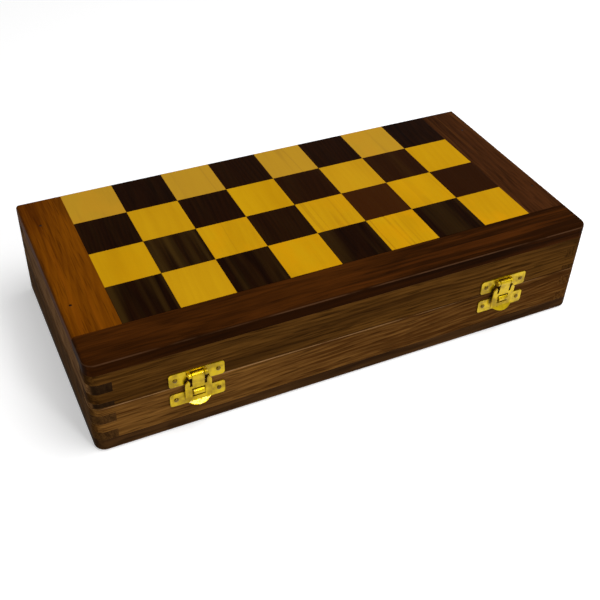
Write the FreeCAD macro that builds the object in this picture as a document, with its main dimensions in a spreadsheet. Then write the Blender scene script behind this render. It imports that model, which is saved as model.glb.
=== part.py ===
import FreeCAD, Part
import os
import Sketcher

# A folding chess board: two equal wooden trays, hinged along the back edge and held shut by two
# brass clasps in front. The outer faces of the closed box carry the squares, four rows on each
# half, so the opened halves, turned over, make one board of eight by eight.
# Millimetres. +X runs along the length to the right, the clasps face -Y, +Z is up, and the origin
# is the middle of the face that the closed box stands on.

COLUMNS = 8
ROWS = 4
FINGERS = 4
HINGE_KNUCKLES = 5
HASP_FLARE_DEGREES = 45

SIZES = {
    # Playing surface
    "square_size": 31.5,
    "end_border_width": 26.4,
    "front_border_width": 23.2,
    "inlay_thickness": 4.3,
    "core_thickness": 4.0,
    "core_rebate": 6.0,
    "board_edge_radius": 2.0,
    # Trays
    "wall_thickness": 12.5,
    "wall_height": 22.9,
    "parting_gap": 0.4,
    "corner_radius": 6.0,
    "rim_edge_radius": 0.6,
    "base_rim_finger": 4.9,
    "lid_rim_finger": 3.6,
    "felt_thickness": 1.2,
    "felt_margin": 0.6,
    # Pins through the end borders
    "border_pin_radius": 0.8,
    "border_pin_length": 18.0,
    "border_pin_sink": 0.15,
    "border_pin_front_inset": 6.2,
    "border_pin_back_inset": 8.7,
    "border_pin_front_reach": 47.7,
    "border_pin_back_reach": 25.3,
    "pin_hole_clearance": 0.03,
    # Hinges
    "hinge_inset": 60.0,
    "hinge_leaf_length": 38.0,
    "hinge_leaf_width": 10.0,
    "hinge_leaf_thickness": 1.2,
    "hinge_leaf_fit": 0.1,
    "hinge_barrel_radius": 2.4,
    "hinge_barrel_clearance": 0.4,
    "hinge_axis_reach": 0.3,
    "hinge_knuckle_gap": 0.2,
    "hinge_pin_radius": 1.2,
    "hinge_running_clearance": 0.05,
    "hinge_screw_spacing": 13.0,
    "hinge_screw_inset": 6.2,
    "screw_head_radius": 2.3,
    "screw_shank_radius": 1.1,
    "screw_shank_length": 8.0,
    "screw_tip_length": 2.5,
    "screw_tip_radius": 0.2,
    "screw_slot_width": 0.5,
    "screw_slot_depth": 0.5,
    "screw_clearance": 0.05,
    # Clasp plates and nails
    "latch_inset": 56.5,
    "latch_plate_width": 30.8,
    "latch_plate_height": 9.0,
    "latch_plate_rise": 0.6,
    "latch_plate_thickness": 0.8,
    "latch_plate_corner": 1.6,
    "latch_notch_width": 14.7,
    "latch_notch_height": 6.2,
    "catch_plate_height": 8.7,
    "catch_plate_drop": 4.5,
    "latch_nail_spacing": 24.0,
    "nail_head_radius": 1.3,
    "nail_head_height": 0.8,
    "nail_shank_radius": 0.6,
    "nail_length": 8.0,
    "nail_clearance": 0.03,
    # Clasp pin, knuckles and hook
    "latch_pin_rise": 6.7,
    "latch_pin_reach": 1.9,
    "latch_pin_radius": 0.7,
    "latch_pin_overhang": 0.3,
    "latch_running_clearance": 0.05,
    "latch_roll_radius": 1.6,
    "latch_roll_clearance": 0.3,
    "latch_knuckle_length": 1.6,
    "latch_knuckle_gap": 0.3,
    "hook_radius": 2.0,
    "hook_width": 6.0,
    "hook_drop": 5.0,
    "hook_mouth": 1.0,
    "hook_clearance": 0.9,
    # Hasp
    "hasp_sheet": 0.9,
    "hasp_width": 14.8,
    "hasp_neck_width": 6.8,
    "hasp_set_in": 0.65,
    "hasp_window_side": 0.6,
    "hasp_shoulder": 1.6,
    "hasp_horn_gap": 1.3,
    "hasp_horn_inner_height": 3.4,
    "hasp_horn_tip_height": 5.0,
    "hasp_horn_tip_offset": 0.8,
    "hasp_horn_outer_height": 2.2,
    "hasp_lip_bar": 1.3,
    "hasp_flare_radius": 1.6,
    "hasp_lip_length": 3.8,
    "hasp_lip_radius": 11.5,
    "hasp_lip_tail": 0.5,
    # One overrun serves every cut, and one tolerance every search for an edge
    "overrun": 1.0,
    "edge_tolerance": 0.03,
}

# Sizes that follow from those, as expressions over the sheet
LENGTH = f"({COLUMNS} * size.square_size + 2 * size.end_border_width)"
DEPTH = f"({ROWS} * size.square_size + size.front_border_width)"
PANEL = "(size.inlay_thickness + size.core_thickness)"
RIM = f"({PANEL} + size.wall_height)"
HEIGHT = f"(2 * {RIM} + size.parting_gap)"
PARTING = f"({HEIGHT} / 2)"
LEFT = f"(-{LENGTH} / 2)"
RIGHT = f"({LENGTH} / 2)"
FRONT = f"(-{DEPTH} / 2)"
BACK = f"({DEPTH} / 2)"
FIELD_LEFT = f"({LEFT} + size.end_border_width)"
FIELD_RIGHT = f"({RIGHT} - size.end_border_width)"
FIELD_FRONT = f"({FRONT} + size.front_border_width)"
HINGE_X = f"({RIGHT} - size.hinge_inset)"
HINGE_Y = f"({BACK} + size.hinge_axis_reach)"
HINGE_NOTCH_Y = f"({HINGE_Y} - size.hinge_barrel_radius - size.hinge_barrel_clearance)"
HINGE_PITCH = f"((size.hinge_leaf_length + size.hinge_knuckle_gap) / {HINGE_KNUCKLES})"
SCREW_Y = f"({BACK} - size.hinge_screw_inset)"
LATCH_X = f"({RIGHT} - size.latch_inset)"
LATCH_PIN_Y = f"({FRONT} - size.latch_pin_reach)"
LATCH_PIN_Z = f"({PARTING} + size.latch_pin_rise)"
NAIL_OFFSET = {
    "base": "(size.catch_plate_drop + size.catch_plate_height / 2)",
    "lid": "(size.latch_plate_rise + size.latch_plate_height / 2)",
}
NAIL_LEVEL = {"base": f"({PARTING} - {NAIL_OFFSET['base']})", "lid": f"({PARTING} + {NAIL_OFFSET['lid']})"}
KNUCKLE_X = "(size.hasp_neck_width / 2 + size.latch_knuckle_gap)"
KNUCKLE_END = f"({KNUCKLE_X} + size.latch_knuckle_length)"
HASP_HOOK = "(size.latch_pin_rise + size.hook_drop)"
HASP_WINDOW_HIGH = f"(size.hook_radius + size.hook_clearance - {HASP_HOOK})"
HASP_WINDOW_LOW = f"(-size.hook_radius - size.hook_clearance - {HASP_HOOK})"
HASP_FLARE = f"({HASP_WINDOW_LOW} - size.hasp_lip_bar)"
SIDES = {"left": -1, "right": 1}

# The first finger of the front and back walls, counted down from the rim. The end walls have the others.
FRONT_FINGER = {"base": 0, "lid": 1}

doc = FreeCAD.newDocument("folding_chess_board")
sheet = doc.addObject("Spreadsheet::Sheet", "size")
for row, (alias, number) in enumerate(SIZES.items(), start=1):
    sheet.set(f"A{row}", alias)
    sheet.set(f"B{row}", str(number))
    sheet.setAlias(f"B{row}", alias)
doc.recompute()

parts = []


def value(expression):
    """What an expression over the sheet comes to, as a plain number."""
    return float(sheet.evalExpression(expression))


def keep(thing, label):
    """Hands in a finished piece under its own name."""
    thing.Label = label
    parts.append(thing)


def put(thing, x="0", y="0", z="0", rotation=None):
    """Places a piece, with its position bound to the sheet."""
    if rotation:
        thing.Placement = FreeCAD.Placement(FreeCAD.Vector(), rotation)
    for axis, expression in zip("xyz", (x, y, z)):
        thing.setExpression(f"Placement.Base.{axis}", expression)
    return thing


def settle(thing, half):
    """The lid is the same tray as the base, turned half round about Y and set on top of it."""
    if half == "lid":
        put(thing, z=HEIGHT, rotation=FreeCAD.Rotation(FreeCAD.Vector(0, 1, 0), 180))
    return thing


def ends(half):
    """Names of the ends at -X and +X of a half, as it is drawn before it is turned over."""
    return ("left", "right") if half == "base" else ("right", "left")


# Solid primitives and groups


def block(corner, extent):
    """A box from its lowest corner."""
    box = doc.addObject("Part::Box", "block")
    for name, expression in zip(("Length", "Width", "Height"), extent):
        box.setExpression(name, expression)
    return put(box, *corner)


def rod(centre, radius, length, along="Z"):
    """A cylinder from the middle of its first end face."""
    cylinder = doc.addObject("Part::Cylinder", "rod")
    cylinder.setExpression("Radius", radius)
    cylinder.setExpression("Height", length)
    turned = FreeCAD.Rotation(FreeCAD.Vector(0, 1, 0), 90) if along == "X" else None
    return put(cylinder, *centre, rotation=turned)


def taper(centre, low_radius, high_radius, length):
    """An upright cone from the middle of its lower end face."""
    cone = doc.addObject("Part::Cone", "taper")
    cone.setExpression("Radius1", low_radius)
    cone.setExpression("Radius2", high_radius)
    cone.setExpression("Height", length)
    return put(cone, *centre)


def fuse(shapes):
    joined = doc.addObject("Part::MultiFuse", "joined")
    joined.Shapes = shapes
    joined.Refine = True
    return joined


def cut(base, tools):
    trimmed = doc.addObject("Part::Cut", "trimmed")
    trimmed.Base = base
    trimmed.Tool = fuse(tools) if len(tools) > 1 else tools[0]
    return trimmed


def group(solids):
    """Equal pieces that share a node, still as separate solids."""
    bundle = doc.addObject("Part::Compound", "bundle")
    bundle.Links = solids
    return bundle


# Bodies built from sketches


def new_body(name):
    return doc.addObject("PartDesign::Body", name)


def sketch_on(body, role, lift="0"):
    """A sketch on one of the body's own planes, lifted along that plane's normal."""
    sketch = body.newObject("Sketcher::SketchObject", "sketch")
    support = [plane for plane in body.Origin.OriginFeatures if plane.Role == role][0]
    sketch.AttachmentSupport = [(support, "")]
    sketch.MapMode = "FlatFace"
    sketch.setExpression("AttachmentOffset.Base.z", lift)
    return sketch


def tie(sketch, kind, items, expression):
    """Adds a dimension and binds it to the sheet."""
    index = sketch.addConstraint(Sketcher.Constraint(kind, *items, value(expression)))
    sketch.setExpression(f"Constraints[{index}]", expression)


def arc_between(start, end, radius, turn):
    """The shorter arc from start to end, turning left for a turn of 1 and right for -1."""
    chord = end - start
    rise = (radius**2 - chord.Length**2 / 4) ** 0.5
    left = FreeCAD.Vector(-chord.y, chord.x, 0).normalize()
    centre = (start + end) / 2 + left * rise * turn
    circle = Part.Circle(centre, FreeCAD.Vector(0, 0, 1), radius)
    first, last = (start, end) if turn > 0 else (end, start)
    return Part.ArcOfCircle(circle, circle.parameter(first), circle.parameter(last))


def outline(sketch, corners):
    """Closes a loop through corners, given as pairs of expressions. A corner with a radius and a turn
    after its pair is reached by an arc, and any other by a straight line."""
    points = [FreeCAD.Vector(value(corner[0]), value(corner[1]), 0) for corner in corners]
    stretches = []
    for index, corner in enumerate(corners):
        start, end = points[index - 1], points[index]
        if len(corner) == 2:
            stretches.append((sketch.addGeometry(Part.LineSegment(start, end)), 1, 2))
            continue
        radius, turn = corner[2:]
        arc = sketch.addGeometry(arc_between(start, end, value(radius), turn))
        tie(sketch, "Radius", (arc,), radius)
        stretches.append((arc, 1, 2) if turn > 0 else (arc, 2, 1))
    for index, corner in enumerate(corners):
        arriving = stretches[index]
        leaving = stretches[(index + 1) % len(stretches)]
        joint = (arriving[0], arriving[2], leaving[0], leaving[1])
        sketch.addConstraint(Sketcher.Constraint("Coincident", *joint))
        tie(sketch, "DistanceX", (-1, 1, arriving[0], arriving[2]), corner[0])
        tie(sketch, "DistanceY", (-1, 1, arriving[0], arriving[2]), corner[1])


def rectangle(sketch, low_x, low_y, high_x, high_y):
    outline(sketch, [(low_x, low_y), (high_x, low_y), (high_x, high_y), (low_x, high_y)])


def rounded_corners(low_x, low_y, high_x, high_y, radius):
    """Corners of a rectangle with round corners, from the end of its lower left arc."""
    return [
        (f"{low_x} + {radius}", low_y, radius, 1),
        (f"{high_x} - {radius}", low_y),
        (high_x, f"{low_y} + {radius}", radius, 1),
        (high_x, f"{high_y} - {radius}"),
        (f"{high_x} - {radius}", high_y, radius, 1),
        (f"{low_x} + {radius}", high_y),
        (low_x, f"{high_y} - {radius}", radius, 1),
        (low_x, f"{low_y} + {radius}"),
    ]


def circle(sketch, x, y, radius):
    centre = FreeCAD.Vector(value(x), value(y), 0)
    ring = sketch.addGeometry(Part.Circle(centre, FreeCAD.Vector(0, 0, 1), value(radius)))
    tie(sketch, "Radius", (ring,), radius)
    tie(sketch, "DistanceX", (-1, 1, ring, 3), x)
    tie(sketch, "DistanceY", (-1, 1, ring, 3), y)


def pad(body, sketch, length, symmetric=False):
    feature = body.newObject("PartDesign::Pad", "pad")
    feature.Profile = sketch
    feature.setExpression("Length", length)
    if symmetric:
        feature.SideType = "Symmetric"
    doc.recompute()
    return feature


def pocket(body, sketch, depth=None):
    """Cuts to a depth behind the sketch, or right through both ways, and makes sure that it cut."""
    before = body.Shape.Volume
    feature = body.newObject("PartDesign::Pocket", "pocket")
    feature.Profile = sketch
    if depth:
        feature.setExpression("Length", depth)
    else:
        feature.SideType = "Symmetric"
        feature.Type = "ThroughAll"
    doc.recompute()
    if not body.Shape.Volume < before:
        raise RuntimeError(f"a cut in {body.Name} removes nothing")
    return feature


def round_edges(body, feature, wanted, radius):
    """Rounds the edges of a feature that a test picks out."""
    numbered = enumerate(feature.Shape.Edges, start=1)
    names = [f"Edge{index}" for index, edge in numbered if wanted(edge)]
    fillet = body.newObject("PartDesign::Fillet", "fillet")
    fillet.Base = (feature, names)
    fillet.setExpression("Radius", radius)
    doc.recompute()
    return fillet


def lies_at(edge, **coordinates):
    """Whether both ends and the middle of an edge have the coordinates given."""
    spots = [vertex.Point for vertex in edge.Vertexes] + [edge.CenterOfMass]
    near = value("size.edge_tolerance")
    return all(abs(getattr(spot, axis) - at) < near for spot in spots for axis, at in coordinates.items())


# Trays


def finger_levels(half, first):
    """Lower and upper level of every other finger, counted down from the rim's own, which is shorter."""
    shortened = f"size.{half}_rim_finger"
    finger = f"((size.wall_height - {shortened}) / {FINGERS - 1})"
    levels = [RIM] + [f"({RIM} - {shortened} - {k} * {finger})" for k in range(FINGERS)]
    return [(levels[k + 1], levels[k]) for k in range(first, FINGERS, 2)]


def cut_fingers(body, role, low, high, half, first):
    """Opens the fingers of a wall's two ends to the walls that they meet."""
    sketch = sketch_on(body, role)
    for bottom, top in finger_levels(half, first):
        rectangle(sketch, f"{low} - size.overrun", bottom, f"{low} + size.wall_thickness", top)
        rectangle(sketch, f"{high} - size.wall_thickness", bottom, f"{high} + size.overrun", top)
    pocket(body, sketch)


def wall_board(name, low_x, low_y, high_x, high_y):
    """A plain board of the walls' height, standing on the panel."""
    body = new_body(name)
    sketch = sketch_on(body, "XY_Plane", PANEL)
    rectangle(sketch, low_x, low_y, high_x, high_y)
    pad(body, sketch, "size.wall_height")
    return body


def at_front_corner(edge):
    """Whether an edge stands at one of the two front corners of the box."""
    return any(lies_at(edge, x=value(end), y=value(FRONT)) for end in (LEFT, RIGHT))


def round_corner(edge):
    return isinstance(edge.Curve, Part.Circle)


def on_outer_rim(edge):
    """Whether an edge runs along the outside of the rim, at the front, at an end or round a corner."""
    at_front = lies_at(edge, y=value(FRONT))
    at_end = any(lies_at(edge, x=value(end)) for end in (LEFT, RIGHT))
    return lies_at(edge, z=value(RIM)) and (at_front or at_end or round_corner(edge))


def front_wall(half):
    body = wall_board(f"{half}_front_wall", LEFT, FRONT, RIGHT, f"{FRONT} + size.wall_thickness")
    round_edges(body, body.Tip, at_front_corner, "size.corner_radius")
    round_edges(body, body.Tip, on_outer_rim, "size.rim_edge_radius")
    cut_fingers(body, "XZ_Plane", LEFT, RIGHT, half, 1 - FRONT_FINGER[half])
    nails = sketch_on(body, "XZ_Plane", BACK)
    for x in nail_places():
        level = f"{PARTING} - {NAIL_OFFSET[half]}"
        circle(nails, x, level, "size.nail_shank_radius + size.nail_clearance")
    pocket(body, nails, "size.nail_length + size.nail_clearance")
    keep(settle(body, half), f"{half}_front_wall")


def back_wall(half):
    body = wall_board(f"{half}_back_wall", LEFT, f"{BACK} - size.wall_thickness", RIGHT, BACK)
    round_edges(body, body.Tip, on_outer_rim, "size.rim_edge_radius")
    cut_fingers(body, "XZ_Plane", LEFT, RIGHT, half, 1 - FRONT_FINGER[half])
    leaf_half = "(size.hinge_leaf_length / 2 + size.hinge_leaf_fit)"
    beds = sketch_on(body, "XY_Plane", RIM)
    barrels = sketch_on(body, "XY_Plane", RIM)
    pilots = sketch_on(body, "XY_Plane", RIM)
    for side in SIDES.values():
        middle = f"{side} * {HINGE_X}"
        low, high = f"{middle} - {leaf_half}", f"{middle} + {leaf_half}"
        bed = f"{BACK} - size.hinge_leaf_width - size.hinge_leaf_fit"
        rectangle(beds, low, bed, high, f"{BACK} + size.overrun")
        rectangle(barrels, low, HINGE_NOTCH_Y, high, f"{BACK} + size.overrun")
        for x in screw_places(side):
            circle(pilots, x, SCREW_Y, "size.screw_shank_radius + size.screw_clearance")
    pocket(body, beds, "size.hinge_leaf_thickness")
    pocket(body, barrels, "size.hinge_barrel_radius + size.hinge_barrel_clearance - size.parting_gap / 2")
    screw_reach = "size.hinge_leaf_thickness + size.screw_shank_length + size.screw_tip_length"
    pocket(body, pilots, f"{screw_reach} + size.screw_clearance")
    keep(settle(body, half), f"{half}_back_wall")


def end_wall(half, name, side):
    """An end wall, with its front corner round and holes for the pins of the border above it."""
    low_x = LEFT if side < 0 else f"{RIGHT} - size.wall_thickness"
    body = wall_board(f"{half}_{name}_wall", low_x, FRONT, f"{low_x} + size.wall_thickness", BACK)
    round_edges(body, body.Tip, at_front_corner, "size.corner_radius")
    round_edges(body, body.Tip, on_outer_rim, "size.rim_edge_radius")
    cut_fingers(body, "YZ_Plane", FRONT, BACK, half, FRONT_FINGER[half])
    holes = sketch_on(body, "XY_Plane", "size.border_pin_length + size.border_pin_sink")
    for x, y in pin_places(side):
        circle(holes, x, y, "size.border_pin_radius + size.pin_hole_clearance")
    pocket(body, holes, "size.border_pin_length")
    keep(settle(body, half), f"{half}_{name}_wall")


def felt_lining(half):
    body = new_body(f"{half}_felt_lining")
    sketch = sketch_on(body, "XY_Plane", PANEL)
    margin = "(size.wall_thickness + size.felt_margin)"
    low_x, high_x = f"{LEFT} + {margin}", f"{RIGHT} - {margin}"
    rectangle(sketch, low_x, f"{FRONT} + {margin}", high_x, f"{BACK} - {margin}")
    pad(body, sketch, "size.felt_thickness")
    keep(settle(body, half), f"{half}_felt_lining")


# Playing surface


def core_outline(sketch):
    """The panel behind the squares, which reaches into a rebate of each border."""
    left, right = f"{FIELD_LEFT} - size.core_rebate", f"{FIELD_RIGHT} + size.core_rebate"
    rectangle(sketch, left, f"{FIELD_FRONT} - size.core_rebate", right, BACK)


def core_panel(half):
    body = new_body(f"{half}_core_panel")
    sketch = sketch_on(body, "XY_Plane", "size.inlay_thickness")
    core_outline(sketch)
    pad(body, sketch, "size.core_thickness")
    keep(settle(body, half), f"{half}_core_panel")


def cut_rebate(body):
    sketch = sketch_on(body, "XY_Plane", PANEL)
    core_outline(sketch)
    pocket(body, sketch, "size.core_thickness")


def front_border(half):
    """The front strip runs the whole length, with round corners and a round outer edge."""
    body = new_body(f"{half}_front_border")
    sketch = sketch_on(body, "XY_Plane")
    rectangle(sketch, LEFT, FRONT, RIGHT, FIELD_FRONT)
    strip = pad(body, sketch, PANEL)
    strip = round_edges(body, strip, at_front_corner, "size.corner_radius")

    def on_outer_edge(edge):
        return lies_at(edge, z=0) and not lies_at(edge, y=value(FIELD_FRONT))

    round_edges(body, strip, on_outer_edge, "size.board_edge_radius")
    cut_rebate(body)
    keep(settle(body, half), f"{half}_front_border")


def end_border(half, name, side):
    """An end strip butts against the front strip and runs to the hinge edge."""
    body = new_body(f"{half}_{name}_border")
    sketch = sketch_on(body, "XY_Plane")
    low_x, high_x = (LEFT, FIELD_LEFT) if side < 0 else (FIELD_RIGHT, RIGHT)
    rectangle(sketch, low_x, FIELD_FRONT, high_x, BACK)
    strip = pad(body, sketch, PANEL)

    def on_outer_edge(edge):
        return lies_at(edge, x=value(LEFT if side < 0 else RIGHT), z=0)

    round_edges(body, strip, on_outer_edge, "size.board_edge_radius")
    cut_rebate(body)
    holes = sketch_on(body, "XY_Plane")
    for x, y in pin_places(side):
        circle(holes, x, y, "size.border_pin_radius + size.pin_hole_clearance")
    pocket(body, holes)
    keep(settle(body, half), f"{half}_{name}_border")


def pin_places(side):
    """Two pins in each end border, over the end wall."""
    front_x, back_x = (f"{side} * ({RIGHT} - size.border_pin_{end}_inset)" for end in ("front", "back"))
    front_y, back_y = f"{FRONT} + size.border_pin_front_reach", f"{BACK} - size.border_pin_back_reach"
    return [(front_x, front_y), (back_x, back_y)]


def border_pins(half):
    places = [place for side in SIDES.values() for place in pin_places(side)]
    sizes = ("size.border_pin_radius", "size.border_pin_length")
    pins = [rod((x, y, "size.border_pin_sink"), *sizes) for x, y in places]
    keep(settle(group(pins), half), f"{half}_border_pins")


def squares(half):
    """Sixteen light and sixteen dark squares. The corner square at the front of the left end, as the
    half is drawn here, is a light one."""
    tones = {"light": [], "dark": []}
    extent = ("size.square_size", "size.square_size", "size.inlay_thickness")
    for column in range(COLUMNS):
        for rank in range(ROWS):
            corner = (
                f"{FIELD_LEFT} + {column} * size.square_size",
                f"{FIELD_FRONT} + {rank} * size.square_size",
                "0",
            )
            tone = "dark" if (column + rank) % 2 else "light"
            tones[tone].append(block(corner, extent))
    for tone, solids in tones.items():
        keep(settle(group(solids), half), f"{half}_{tone}_squares")


def tray(half):
    """One half of the box, drawn with its playing face down."""
    front_wall(half)
    back_wall(half)
    for name, side in zip(ends(half), SIDES.values()):
        end_wall(half, name, side)
        end_border(half, name, side)
    front_border(half)
    core_panel(half)
    squares(half)
    felt_lining(half)
    border_pins(half)


# Hinges


def screw_places(side):
    return [f"{side} * {HINGE_X} + {step} * size.hinge_screw_spacing" for step in (-1, 0, 1)]


def hinge_leaf(half, name, side, knuckles):
    """A leaf let into the rim, with its own knuckles of the barrel round the pin."""
    low_x = f"({side} * {HINGE_X} - size.hinge_leaf_length / 2)"
    low_z = f"({RIM} - size.hinge_leaf_thickness)" if half == "base" else f"({HEIGHT} - {RIM})"
    low_y = f"({BACK} - size.hinge_leaf_width)"
    plate_width = f"{HINGE_NOTCH_Y} - {low_y}"
    plate = ("size.hinge_leaf_length", plate_width, "size.hinge_leaf_thickness")
    pieces = [block((low_x, low_y, low_z), plate)]
    knuckle = f"({HINGE_PITCH} - size.hinge_knuckle_gap)"
    for index in knuckles:
        x = f"{low_x} + {index} * {HINGE_PITCH}"
        tongue = (knuckle, f"{HINGE_Y} - {HINGE_NOTCH_Y}", "size.hinge_leaf_thickness")
        pieces.append(block((x, HINGE_NOTCH_Y, low_z), tongue))
        pieces.append(rod((x, HINGE_Y, PARTING), "size.hinge_barrel_radius", knuckle, along="X"))
    bore = "size.hinge_pin_radius + size.hinge_running_clearance"
    holes = [rod((low_x, HINGE_Y, PARTING), bore, "size.hinge_leaf_length", along="X")]
    radii = [f"size.screw_{end}_radius + size.screw_clearance" for end in ("shank", "head")]
    if half == "lid":
        radii.reverse()
    for x in screw_places(side):
        holes.append(taper((x, SCREW_Y, low_z), *radii, "size.hinge_leaf_thickness"))
    keep(cut(fuse(pieces), holes), f"{name}_hinge_{half}_leaf")


def hinge_screw(x, half):
    """A slotted countersunk screw, drawn upright with its head's top at zero."""
    thickness = "size.hinge_leaf_thickness"
    shank_radius, shank_length = "size.screw_shank_radius", "size.screw_shank_length"
    shank_bottom = f"-{thickness} - {shank_length}"
    tip_bottom = f"{shank_bottom} - size.screw_tip_length"
    head = taper(("0", "0", f"-{thickness}"), shank_radius, "size.screw_head_radius", thickness)
    shank = rod(("0", "0", shank_bottom), shank_radius, shank_length)
    tip = taper(("0", "0", tip_bottom), "size.screw_tip_radius", shank_radius, "size.screw_tip_length")
    slot_reach = "(size.screw_head_radius + size.overrun)"
    slot = block(
        (f"-{slot_reach}", "-size.screw_slot_width / 2", "-size.screw_slot_depth"),
        (f"2 * {slot_reach}", "size.screw_slot_width", "size.screw_slot_depth + size.overrun"),
    )
    screw = cut(fuse([head, shank, tip]), [slot])
    if half == "base":
        return put(screw, x, SCREW_Y, RIM)
    return put(screw, x, SCREW_Y, f"{HEIGHT} - {RIM}", FreeCAD.Rotation(FreeCAD.Vector(1, 0, 0), 180))


def hinges():
    for name, side in SIDES.items():
        hinge_leaf("base", name, side, range(0, HINGE_KNUCKLES, 2))
        hinge_leaf("lid", name, side, range(1, HINGE_KNUCKLES, 2))
        low_x = f"{side} * {HINGE_X} - size.hinge_leaf_length / 2"
        pin = rod((low_x, HINGE_Y, PARTING), "size.hinge_pin_radius", "size.hinge_leaf_length", along="X")
        keep(pin, f"{name}_hinge_pin")
    for half in ("base", "lid"):
        places = [x for side in SIDES.values() for x in screw_places(side)]
        keep(group([hinge_screw(x, half) for x in places]), f"{half}_hinge_screws")


# Clasps, each drawn about the middle of its own width, at the parting line, on the front face


def put_latch(body, side):
    return put(body, f"{side} * {LATCH_X}", FRONT, PARTING)


def drill_nail_holes(body, height):
    holes = sketch_on(body, "XZ_Plane")
    radius = "size.nail_shank_radius + size.nail_clearance"
    for step in (-1, 1):
        circle(holes, f"{step} * size.latch_nail_spacing / 2", height, radius)
    pocket(body, holes)


def latch_plate(name, side):
    """The upper plate: two round-cornered ears, a notch between them and a knuckle on each side of it."""
    body = new_body(f"{name}_latch_plate")
    half, low = "size.latch_plate_width / 2", "size.latch_plate_rise"
    high = f"({low} + size.latch_plate_height)"
    notch_top = f"{low} + size.latch_notch_height"
    roll_top = "size.latch_pin_rise + size.latch_roll_radius + size.latch_roll_clearance"
    notch = [
        ("-size.latch_notch_width / 2", low),
        (f"-{KNUCKLE_END}", notch_top),
        (f"-{KNUCKLE_X}", notch_top),
        (f"-{KNUCKLE_X}", roll_top),
        (KNUCKLE_X, roll_top),
        (KNUCKLE_X, notch_top),
        (KNUCKLE_END, notch_top),
        ("size.latch_notch_width / 2", low),
    ]
    corners = rounded_corners(f"-{half}", low, half, high, "size.latch_plate_corner")
    sketch = sketch_on(body, "XZ_Plane")
    outline(sketch, corners[:1] + notch + corners[1:])
    pad(body, sketch, "size.latch_plate_thickness")
    for start in (f"-{KNUCKLE_END}", KNUCKLE_X):
        roll = sketch_on(body, "YZ_Plane", start)
        circle(roll, "-size.latch_pin_reach", "size.latch_pin_rise", "size.latch_roll_radius")
        pad(body, roll, "size.latch_knuckle_length")
        web = sketch_on(body, "YZ_Plane", start)
        roll_crown = "size.latch_pin_rise + size.latch_roll_radius"
        rectangle(web, "-size.latch_pin_reach", "size.latch_pin_rise", "0", roll_crown)
        pad(body, web, "size.latch_knuckle_length")
    bore = sketch_on(body, "YZ_Plane")
    bore_radius = "size.latch_pin_radius + size.latch_running_clearance"
    circle(bore, "-size.latch_pin_reach", "size.latch_pin_rise", bore_radius)
    pocket(body, bore)
    drill_nail_holes(body, NAIL_OFFSET["lid"])
    keep(put_latch(body, side), f"{name}_latch_plate")


def catch_plate(name, side):
    """The lower plate, with a tongue at its upper edge curled outwards into a hook."""
    body = new_body(f"{name}_catch")
    half = "size.latch_plate_width / 2"
    low, high = "-(size.catch_plate_drop + size.catch_plate_height)", "-size.catch_plate_drop"
    sketch = sketch_on(body, "XZ_Plane")
    outline(sketch, rounded_corners(f"-{half}", low, half, high, "size.latch_plate_corner"))
    pad(body, sketch, "size.latch_plate_thickness")
    roll = sketch_on(body, "YZ_Plane")
    circle(roll, "-size.hook_radius", "-size.hook_drop", "size.hook_radius")
    pad(body, roll, "size.hook_width", symmetric=True)
    hollow = sketch_on(body, "YZ_Plane")
    circle(hollow, "-size.hook_radius", "-size.hook_drop", "size.hook_radius - size.latch_plate_thickness")
    pocket(body, hollow)
    mouth = sketch_on(body, "YZ_Plane")
    mouth_end = "-(size.latch_plate_thickness + size.hook_mouth)"
    mouth_low = "-(size.hook_drop + size.hook_radius + size.overrun)"
    rectangle(mouth, mouth_end, mouth_low, "-size.latch_plate_thickness", "-size.hook_drop")
    pocket(body, mouth)
    drill_nail_holes(body, f"-{NAIL_OFFSET['base']}")
    keep(put_latch(body, side), f"{name}_catch")


def hasp_section(sketch):
    """The hasp's sheet from the side: neck, leaf and flared lip, with the pin's axis at the origin."""
    front, back = "size.latch_roll_radius", "(size.latch_roll_radius - size.hasp_sheet)"
    leaf_front = f"({front} - size.hasp_set_in)"
    leaf_back = f"({leaf_front} - size.hasp_sheet)"
    bend = "-size.latch_pin_rise"
    inner, outer = "size.hasp_flare_radius", "(size.hasp_flare_radius + size.hasp_sheet)"
    axis_y = f"(-{leaf_front} - {inner})"
    across, down = f"cos({HASP_FLARE_DEGREES} deg)", f"sin({HASP_FLARE_DEGREES} deg)"
    lip_reach, lip_fall = f"size.hasp_lip_length * {down}", f"size.hasp_lip_length * {across}"
    inner_y, inner_z = f"{axis_y} + {inner} * {across}", f"{HASP_FLARE} - {inner} * {down}"
    outer_y, outer_z = f"{axis_y} + {outer} * {across}", f"{HASP_FLARE} - {outer} * {down}"
    outline(
        sketch,
        [
            (f"-{front}", "0"),
            (f"-{leaf_front}", bend),
            (f"-{leaf_front}", HASP_FLARE),
            (inner_y, inner_z, inner, -1),
            (f"{inner_y} - {lip_reach}", f"{inner_z} - {lip_fall}"),
            (f"{outer_y} - {lip_reach}", f"{outer_z} - {lip_fall}"),
            (outer_y, outer_z),
            (f"-{leaf_back}", HASP_FLARE, outer, 1),
            (f"-{leaf_back}", bend),
            (f"-{back}", "0"),
        ],
    )


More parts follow.
